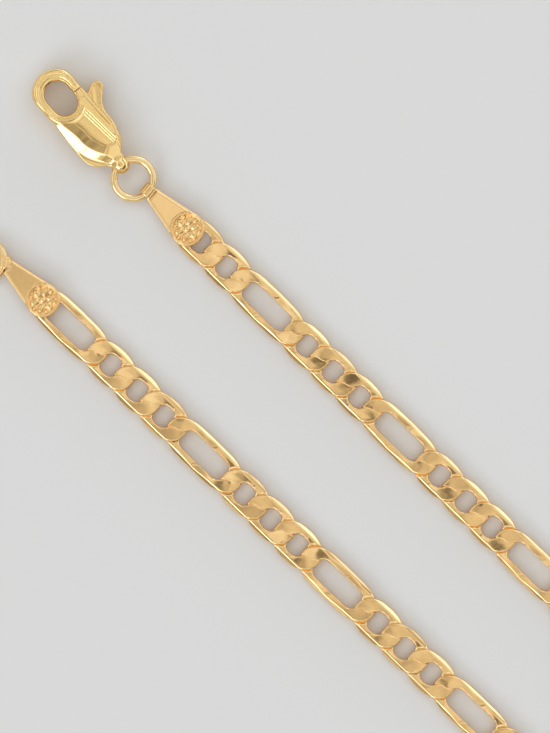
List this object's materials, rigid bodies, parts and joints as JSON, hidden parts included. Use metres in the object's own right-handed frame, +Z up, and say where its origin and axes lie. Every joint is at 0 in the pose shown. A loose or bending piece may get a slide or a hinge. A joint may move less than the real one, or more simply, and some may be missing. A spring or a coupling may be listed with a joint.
{
  "type": "figaro chain necklace",
  "caption": "Flat gold figaro chain necklace, laid as an open loop: short and long curb links, a stamped tag at each end, a sprung lobster clasp and a plain end ring.",
  "frame": {"origin": "centre of the necklace's bounding box, on the surface that it lies on", "axes": "+Z up from the surface, +Y along the two straight strands towards the clasp and the end ring, +X to the clasp's side; the loop for the neck lies towards -Y"},
  "size_m": [0.093, 0.2229, 0.0026],
  "materials": {
    "polished_gold": "yellow gold, filed flat and polished",
    "gold_wire": "yellow gold wire, drawn and polished",
    "cast_gold": "yellow gold, cast and tumble polished"
  },
  "bodies": {
    "necklace": {"chain_clasp_half": "polished_gold", "chain_ring_half": "polished_gold", "clasp_tag": "polished_gold", "ring_tag": "polished_gold", "clasp_ring": "gold_wire", "end_ring": "gold_wire", "clasp_body": "cast_gold", "clasp_pin": "gold_wire"},
    "lever": {"clasp_lever": "cast_gold"}
  },
  "joints": [
    {"name": "lever_hinge", "type": "hinge", "parent": "necklace", "child": "lever", "pos_m": [0.00895, 0.1021, 0.0013], "axis": [0, 0, 1], "range_deg": [0, 14], "stiffness_Nm_per_rad": 0.002, "springref_deg": -5.73}
  ]
}
